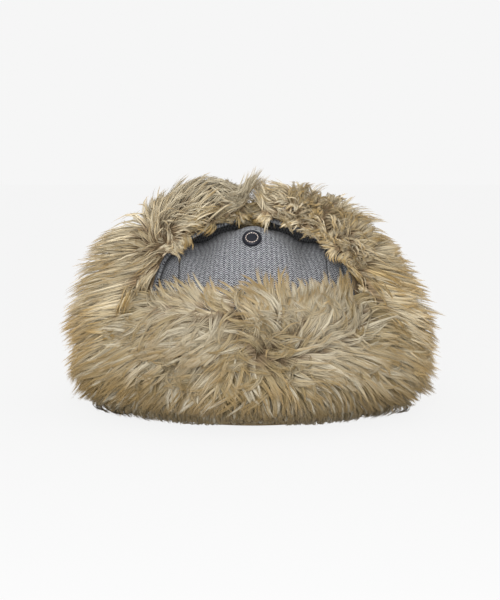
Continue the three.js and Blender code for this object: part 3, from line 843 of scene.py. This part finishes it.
# The undercoat is painted dark brown as the shadow deep in the pile between the locks.
undercoat_shadow_finish = Finish("fur_undercoat_painted_shadow", Roughness=0.95, Specular_IOR_Level=0.1)
matting = undercoat_shadow_finish.mottle(220.0, 4.0, 0.7, (0.07, 0.05, 0.03, 1.0), (0.2, 0.14, 0.08, 1.0))
undercoat_shadow_finish.bump(matting, 0.8, 0.002)


def add_fur(flap, pelt, growths, thickness, seed):
    """The fur of one flap in place of its solid: an undercoat, and a piece of hair for each growth."""
    rng = np.random.default_rng(seed)
    dress(undercoat(f"{flap}_undercoat", pelt), undercoat_shadow_finish, f"{flap}_fur")
    for growth in growths:
        path, flat, tone = grow_hair(pelt, growth, rng)
        hair = hair_mesh(f"{flap}_{growth['name']}", path, flat, tone, thickness)
        dress(hair, fur_finish, f"{flap}_fur")


# The parting of the front and neck flaps' fur: its height, from one side of the flap, -1, to the other, 1.
parting_side = [-1.0, -0.5, -0.12, 0.0, 0.08, 0.2, 0.55, 1.0]
parting_height = [98.0, 94.0, 85.0, 74.0, 62.0, 56.0, 68.0, 78.0]


def turned_up_lie(level, across, place):
    """The fur of the front and neck flaps runs away from a parting that rises to both sides."""
    side = 2 * across - 1
    parting = np.interp(side, parting_side, parting_height)
    lean = 1.6 * side + 0.4 * wander(place, 60.0, 3)
    rise = (place[..., 2] - parting) / 28.0 + 0.35 * wander(place, 45.0, 4)
    return lean, rise


def turned_up_comb(level, across, place, rng):
    count = len(level)
    side = np.abs(2 * across - 1)
    height = place[:, 2]
    low = 1 - smoothstep(6.0, 45.0, height)
    high = smoothstep(76.0, 100.0, height)
    lean, rise = turned_up_lie(level, across, place)
    combed = smoothstep(0.0, 0.9, np.hypot(lean, rise))
    inward = unit(place * np.array([1.0, 1.0, 0.0]))
    sway = inward * (-0.3 * high)[:, None] + np.array([0.0, 0.0, -0.1]) * (1 - high)[:, None]
    return {
        "length": (
            rng.uniform(24.0, 46.0, count) * (1 + 0.35 * side) * (1 - 0.25 * low)
            * lerp(0.75, 1.0, combed) * lerp(1.0, rng.uniform(0.3, 0.95, count), high)
        ),
        "root": rng.uniform(0.35, 0.65, count) + 0.2 * (1 - combed),
        "tip": rng.uniform(0.9, 1.15, count),
        "lift": rng.normal(7.0, 3.5, count) * (1 - 0.8 * high),
        "sway": sway,
    }


def crossing_comb(level, across, place, rng):
    """Shorter hair that stands up through the rest, mostly at the parting."""
    count = len(level)
    return {
        "length": rng.uniform(10.0, 22.0, count),
        "root": rng.uniform(0.65, 0.85, count),
        "tip": rng.uniform(0.95, 1.15, count),
        "lift": rng.normal(7.0, 2.5, count),
        "sway": np.zeros((count, 3)),
    }


def edge_comb(level, across, place, rng):
    """Short hair at the edge of a pelt. What grows outside turns outwards, and the rest hangs over the edge,
    though where the flap leans over the crown few locks hang."""
    count = len(level)
    where = rng.uniform(0.0, 1.0, count)
    leaning = smoothstep(132.0, 150.0, place[:, 2]) * (rng.uniform(0.0, 1.0, count) < 0.75)
    return {
        "length": rng.uniform(10.0, 24.0, count),
        "root": 0.05 + 0.8 * where,
        "tip": 0.05 + 0.8 * where + 0.9 * np.maximum(where - 0.45, -0.06),
        "lift": np.zeros(count),
        "sway": np.array([0.0, 0.0, -0.6]) * (rng.uniform(0.2, 1.1, count) * (1 - 0.95 * leaning))[:, None],
    }


def anywhere(hair):
    """The limit of hair that has none."""
    return hair


turned_up_fur_rows = smooth_rows(turned_up_fur, coarse * 8 + 1)
free_half_turn = 5.0


def turned_up_pelt(middle_turn, half_turn, columns, spread):
    across = np.linspace(-1.0, 1.0, columns)[None, :]
    seat = turned_up_grid(turned_up_fur_rows, middle_turn, half_turn + free_half_turn, columns)
    low = 1 - smoothstep(8.0, 40.0, turned_up_fur_rows["height"])
    return Pelt(seat, turned_up_fur_rows["pile"] * (1 + spread * across ** 2 * (1 + 1.2 * low)), free_edge)


whole_pelt = (0.0, 1.0, 0.0, 1.0)

# A growth gives the spacing of tufts and of locks, the hairs in a lock, how many degrees locks stray, how far
# they gather to their tuft and how wide a lock's point stays. Then come its tones: how golden, how bright,
# and how much painted shade dims its low and high fur and turns its low fur more golden.
front_growth = {
    "lie": turned_up_lie, "comb": turned_up_comb, "within": anywhere, "band": whole_pelt,
    "tufts": 14.0, "locks": 3.9, "hairs": 18, "unrest": 19.0, "gather": (0.15, 0.65), "point": (0.15, 0.9),
    # Painted shade dims the front flap's low fur and turns it more golden.
    "shade": 0.12, "brightness": (0.2, 0.475), "painted_shade_low": 0.85, "painted_shade_high": 0.0, "painted_shade_gold_low": 1.0,
}
front_pelt = turned_up_pelt(0.0, front_flap_half_turn, coarse * 14 + 1, 0.35)
add_fur("front_flap", front_pelt, [
    {
        **front_growth, "name": "lower_hair", "band": (0.0, 0.5, 0.0, 1.0),
        "unrest": 12.0, "gather": (0.25, 0.75),
    },
    {**front_growth, "name": "upper_hair", "band": (0.5, 1.0, 0.0, 1.0)},
    {
        **front_growth, "name": "crossing_hair", "comb": crossing_comb, "band": (0.38, 0.9, 0.12, 0.88),
        "tufts": 9.0, "locks": 6.0, "hairs": 14, "unrest": 55.0, "gather": (0.3, 0.8),
    },
], 0.55, 11)
neck_pelt = turned_up_pelt(180.0, neck_flap_half_turn, coarse * 12 + 1, 0.15)
add_fur("neck_flap", neck_pelt, [{**front_growth, "name": "hair", "locks": 6.2}], 0.85, 12)

ear_fur_rows = smooth_rows(ear_fur, coarse * 14 + 1)
ear_fur_columns = coarse * 9 + 1

# How the fur of each ear flap lies, from the fold to the flap's end: how much it rises along the flap, how
# far it runs over the pelt and how far it stands over its pile.
# The high fur at each ear flap's end is painted darker as shade, the left flap's more.
ear_habits = {
    -1: {
        "name": "left", "fullness": 1.06, "painted_shade_high": 0.36,
        "level": [0.0, 0.3, 0.45, 0.6, 0.67, 0.75, 0.9, 1.0],
        "rise": [-1.0, -1.0, -1.0, -0.7, 0.4, 1.2, 1.3, 1.3],
        "run": [26.0, 22.0, 24.0, 20.0, 20.0, 38.0, 50.0, 44.0],
        "lift": [8.0, 14.0, 18.0, 17.0, 10.0, 0.0, 13.0, 22.0],
    },
    1: {
        "name": "right", "fullness": 0.9, "painted_shade_high": 0.0,
        "level": [0.0, 0.3, 0.45, 0.6, 0.8, 0.88, 0.93, 1.0],
        "rise": [-1.0, -0.8, -0.3, -0.35, -0.35, 0.1, 0.9, 1.2],
        "run": [26.0, 20.0, 18.0, 18.0, 20.0, 22.0, 38.0, 42.0],
        "lift": [6.0, 10.0, 14.0, 10.0, 1.0, 4.0, 14.0, 17.0],
    },
}

# The gap between the ends of the two ear flaps, and where each flap's fur ends at it, in x by height.
gap_foot = 158.0
left_limit = {"x": -12.7, "height": 172.0, "slope": 0.72}
right_limit = {"x": [-24.0, -16.0, -8.0, 10.0, 20.0], "height": [156.0, 171.0, 184.0, 192.0, 200.0]}
gap_raggedness = 5.0

for side, habit in ear_habits.items():
    across = np.linspace(-1.0, 1.0, ear_fur_columns)[None, :]
    full = lerp(1.0, habit["fullness"], smoothstep(60.0, 130.0, ear_fur_rows["height"]))
    ear_pelt = Pelt(
        ear_grid(ear_fur_rows, side, ear_fur_columns, ear_fur_rows["overhang"]),
        ear_fur_rows["pile"] * full * (1 - 0.55 * across ** 4), 0,
    )

    def ear_lie(level, across, place):
        """The fur of an ear flap fans out to its front and back edges."""
        lean = 0.8 * (2 * across - 1) + 0.3 * wander(place, 60.0, 7)
        rise = np.interp(level, habit["level"], habit["rise"]) + 0.25 * wander(place, 50.0, 8)
        return lean, rise

    def ear_comb(level, across, place, rng):
        count = len(level)
        low = 1 - smoothstep(6.0, 45.0, place[:, 2])
        run = np.interp(level, habit["level"], habit["run"])
        at_top = smoothstep(0.6, 0.8, level)
        return {
            "length": run * rng.uniform(0.5, 1.0, count) * (1 - 0.2 * low),
            "root": rng.uniform(0.3, 0.6, count) + rng.uniform(-0.1, 0.5, count) * at_top,
            "tip": rng.uniform(0.85, 1.05, count) + 0.3 * at_top,
            "lift": np.interp(level, habit["level"], habit["lift"]) + rng.normal(0.0, 3.5, count),
            "sway": np.array([0.0, 0.0, -0.12]) * np.ones((count, 1)),
        }

    def over_edge(way, seed):
        """The lie of fur that leans out over the front or the back edge."""
        return lambda level, across, place: (way * np.ones(level.shape), 0.3 * wander(place, 30.0, seed))

    def beside_gap(hair):
        """Keeps the ends of the two ear flaps' fur to their sides of the slanting gap between them, and the
        fur at their front edges off the crown."""
        x, height = hair[..., 0], hair[..., 2]
        if side < 0:
            limit = left_limit["x"] + (height - left_limit["height"]) * left_limit["slope"]
        else:
            limit = np.interp(height, right_limit["height"], right_limit["x"])
        uneven = gap_raggedness * np.sin(hair[:, -1:, 1] * 2.3 + hair[:, -1:, 2] * 3.1)
        beyond = (limit + uneven - x) * side
        hair[..., 0] = x + side * np.maximum(beyond, 0.0) * 0.75 * (height > gap_foot)
        ahead = np.maximum(ear_flap_middle - 56.0 - hair[..., 1], 0.0)
        hair[..., 0] += side * 0.9 * ahead * (1 - smoothstep(112.0, 132.0, height))
        return hair

    front_edge, back_edge = ((0.25, 1.0, 0.0, 0.05), (0.25, 1.0, 0.95, 1.0))[::side]
    ear_growth = {
        "lie": ear_lie, "comb": ear_comb, "within": beside_gap, "band": whole_pelt,
        "tufts": 11.0, "locks": 4.3, "hairs": 11, "unrest": 22.0, "gather": (0.2, 0.7), "point": (0.1, 0.4),
        "shade": -0.4, "brightness": (0.475, 0.985),
        # Painted shade: the high fur is dimmed by the flap's own amount.
        "painted_shade_low": 0.0, "painted_shade_high": habit["painted_shade_high"], "painted_shade_gold_low": 0.15,
    }
    edging = {
        **ear_growth, "comb": edge_comb, "tufts": 8.0, "locks": 2.0, "hairs": 8, "unrest": 34.0,
        "gather": (0.2, 0.6), "shade": -0.15,
    }

    def over_end(level, across, place):
        return -0.3 * side + 0.25 * wander(place, 30.0, 13), np.ones(level.shape)

    def end_comb(level, across, place, rng):
        count = len(level)
        return {
            "length": rng.uniform(18.0, 44.0 if side > 0 else 26.0, count),
            "root": rng.uniform(0.0, 0.9, count),
            "tip": rng.uniform(-0.9, 0.9, count),
            "lift": np.zeros(count),
            "sway": np.array([0.0, -0.1, -0.3]) * rng.uniform(0.0, 1.6, count)[:, None],
        }

    add_fur(f"{habit['name']}_ear_flap", ear_pelt, [
        {**ear_growth, "name": "hair"},
        {**edging, "name": "front_edge_hair", "lie": over_edge(-side, 9), "band": front_edge},
        {**edging, "name": "back_edge_hair", "lie": over_edge(side, 10), "band": back_edge, "locks": 3.4},
        {
            **edging, "name": "end_hair", "comb": end_comb, "lie": over_end, "within": anywhere,
            "band": (0.95, 1.0, 0.0, 1.0), "hairs": 10, "shade": 0.1,
        },
    ], 0.65, 20 + side)


# Snap: an enamelled cap with a thick glossy rim and a ring of copper dashes round its sunk middle.
# A plain steel post goes through the knit to a flange inside the crown.

snap_turn = -0.8
snap_height = 133.6
snap_elevation = 44.0
snap_sideways = -0.06
snap_sides = 64
dash_count = 16
dash_share = 0.5
dash_arcs = 3
dash_ring_radius = 4.95
dash_half_width = 0.32
dash_foot = 3.5
dash_top = 3.82

# Radius, and height over the crown.
snap_profile = [
    (0.0, 2.6), (2.3, 2.6), (2.3, 1.1), (7.0, 1.1), (7.7, 1.3), (8.0, 1.9), (8.05, 2.6), (7.9, 3.4),
    (7.5, 4.1), (6.9, 4.45), (6.4, 4.4), (6.05, 4.15), (5.9, 3.8), (5.2, 3.62), (4.6, 3.7), (4.3, 3.55),
    (3.8, 3.3), (0.0, 3.2),
]


def snap_places(local):
    """From the snap's own frame, whose third axis points out of the crown, to the hat's."""
    turn = math.radians(snap_turn)
    x = crown_half_width * kept(crown_width_curve, snap_height) * math.sin(turn)
    y = -crown_half_depth * kept(crown_depth_curve, snap_height) * math.cos(turn)
    seat = np.array([x, y, snap_height + crown_relief(x, y, snap_height)])
    elevation = math.radians(snap_elevation)
    facing = unit(np.array([snap_sideways, -math.cos(elevation), math.sin(elevation)]))
    sideways = unit(np.cross(facing, [0.0, 0.0, 1.0])) * -1
    upwards = np.cross(facing, sideways)
    return seat + local @ np.array([sideways, upwards, facing])


def lathe(name, profile, sides):
    """A solid of revolution whose profile starts and ends on the axis."""
    angle = np.linspace(0, 2 * np.pi, sides, endpoint=False)
    around = np.stack([np.cos(angle), np.sin(angle), 0 * angle], axis=-1)
    axis = np.array([0.0, 0.0, 1.0])
    rings = [radius * around + height * axis for radius, height in profile[1:-1]]
    ends = np.array([[0.0, 0.0, profile[0][1]], [0.0, 0.0, profile[-1][1]]])
    points = np.concatenate([*rings, ends])
    index = np.arange(len(rings) * sides).reshape(len(rings), sides)
    following = np.roll(index, -1, axis=1)
    quads = np.stack([index[:-1], following[:-1], following[1:], index[1:]], axis=-1).reshape(-1, 4)
    under = np.full(sides, len(rings) * sides)
    start = np.stack([following[0], index[0], under], axis=-1)
    finish = np.stack([index[-1], following[-1], under + 1], axis=-1)
    corners = np.concatenate([quads.ravel(), start.ravel(), finish.ravel()])
    sizes = np.concatenate([np.full(len(quads), 4), np.full(2 * sides, 3)])
    return new_mesh_object(name, snap_places(points), corners, sizes)


enamel = Finish("snap_enamel", Specular_IOR_Level=0.18, Coat_Weight=0.1, Coat_Roughness=0.2)
smudge = enamel.mottle(900.0, 3.0, 0.6, (0.004, 0.0045, 0.008, 1.0), (0.011, 0.012, 0.018, 1.0))
enamel.feed("Roughness", smudge * 0.25 + 0.28)
dress(lathe("snap_cap_enamel", snap_profile, snap_sides), enamel, "snap_cap")

copper = Finish("snap_copper_dashes", Roughness=0.35, Metallic=0.6)
copper.mottle(1500.0, 2.0, 0.5, (0.7, 0.54, 0.46, 1.0), (0.95, 0.85, 0.78, 1.0))


def dashed_ring(name):
    """Short raised bars round the sunk middle of the cap."""
    inner, outer = dash_ring_radius - dash_half_width, dash_ring_radius + dash_half_width
    section = [(inner, dash_foot), (outer, dash_foot), (outer, dash_top), (inner, dash_top)]
    dash_turn = 2 * np.pi / dash_count
    points = [
        (radius * math.cos(angle), radius * math.sin(angle), height)
        for n in range(dash_count)
        for angle in np.linspace(dash_turn * n, dash_turn * (n + dash_share), dash_arcs + 1)
        for radius, height in section
    ]
    ends = [[0, 1, 2, 3], [4 * dash_arcs + k for k in (3, 2, 1, 0)]]
    sides = [
        [4 * arc + 4 + k, 4 * arc + 4 + (k + 1) % 4, 4 * arc + (k + 1) % 4, 4 * arc + k]
        for arc in range(dash_arcs) for k in range(4)
    ]
    first = 4 * (dash_arcs + 1) * np.arange(dash_count)[:, None, None]
    corners = (np.array(sides + ends) + first).ravel()
    return new_mesh_object(name, snap_places(np.array(points)), corners, np.full(len(corners) // 4, 4))


dress(dashed_ring("snap_dashed_ring"), copper)

steel = Finish("snap_steel", Roughness=0.35, Metallic=1.0)
steel.mottle(1200.0, 3.0, 0.6, (0.42, 0.42, 0.44, 1.0), (0.62, 0.62, 0.64, 1.0))
steel.put_on(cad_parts["snap_post"])


# Stage: a pale table that runs into a pale room. Soft light comes from all round, and from one lamp in front
# of the hat and a little above it.

room_grey = 0.9216
floor_size = 14.0
floor_glow = 0.855
floor_grey = 0.06
lamp_size = 0.6
lamp_power = 32.0
lamp_place = (-0.05, -1.5, 0.42)
lamp_aim = (0.0, 0.0, 0.1)

bpy.ops.mesh.primitive_plane_add(size=floor_size)
table = bpy.context.object
table.name = "pale_table"
Finish(
    "pale_table", Base_Color=(floor_grey, floor_grey, floor_grey, 1.0), Roughness=1.0, Specular_IOR_Level=0.0,
    Emission_Color=(1.0, 1.0, 1.0, 1.0), Emission_Strength=floor_glow,
).put_on(table)

scene = bpy.context.scene
scene.view_settings.view_transform = "Standard"
scene.world = bpy.data.worlds.new("pale_room")
scene.world.use_nodes = True
room_light = scene.world.node_tree.nodes["Background"]
room_light.inputs["Color"].default_value = (room_grey, room_grey, room_grey, 1.0)

light_ahead = bpy.data.lights.new("light_ahead", "AREA")
light_ahead.size = lamp_size
light_ahead.energy = lamp_power
lamp = new_object("light_ahead", light_ahead)
lamp.location = lamp_place
away = np.array(lamp_place) - np.array(lamp_aim)
lamp_tilt = math.atan2(math.hypot(away[0], away[1]), away[2])
lamp.rotation_euler = (lamp_tilt, 0.0, math.atan2(away[0], -away[1]))


# Camera: a long lens a little above the table, as the hat was seen.

view_elevation = math.radians(6.2)
view_distance = 1.218
look_at = (-0.0026, 0.0, 0.0893)

camera_data = bpy.data.cameras.new("camera")
camera_data.lens = 85.0
camera_data.sensor_width = 36.0
camera = new_object("camera", camera_data)
camera.location = (
    look_at[0],
    look_at[1] - view_distance * math.cos(view_elevation),
    look_at[2] + view_distance * math.sin(view_elevation),
)
camera.rotation_euler = (math.pi / 2 - view_elevation, 0.0, 0.0)
scene.camera = camera
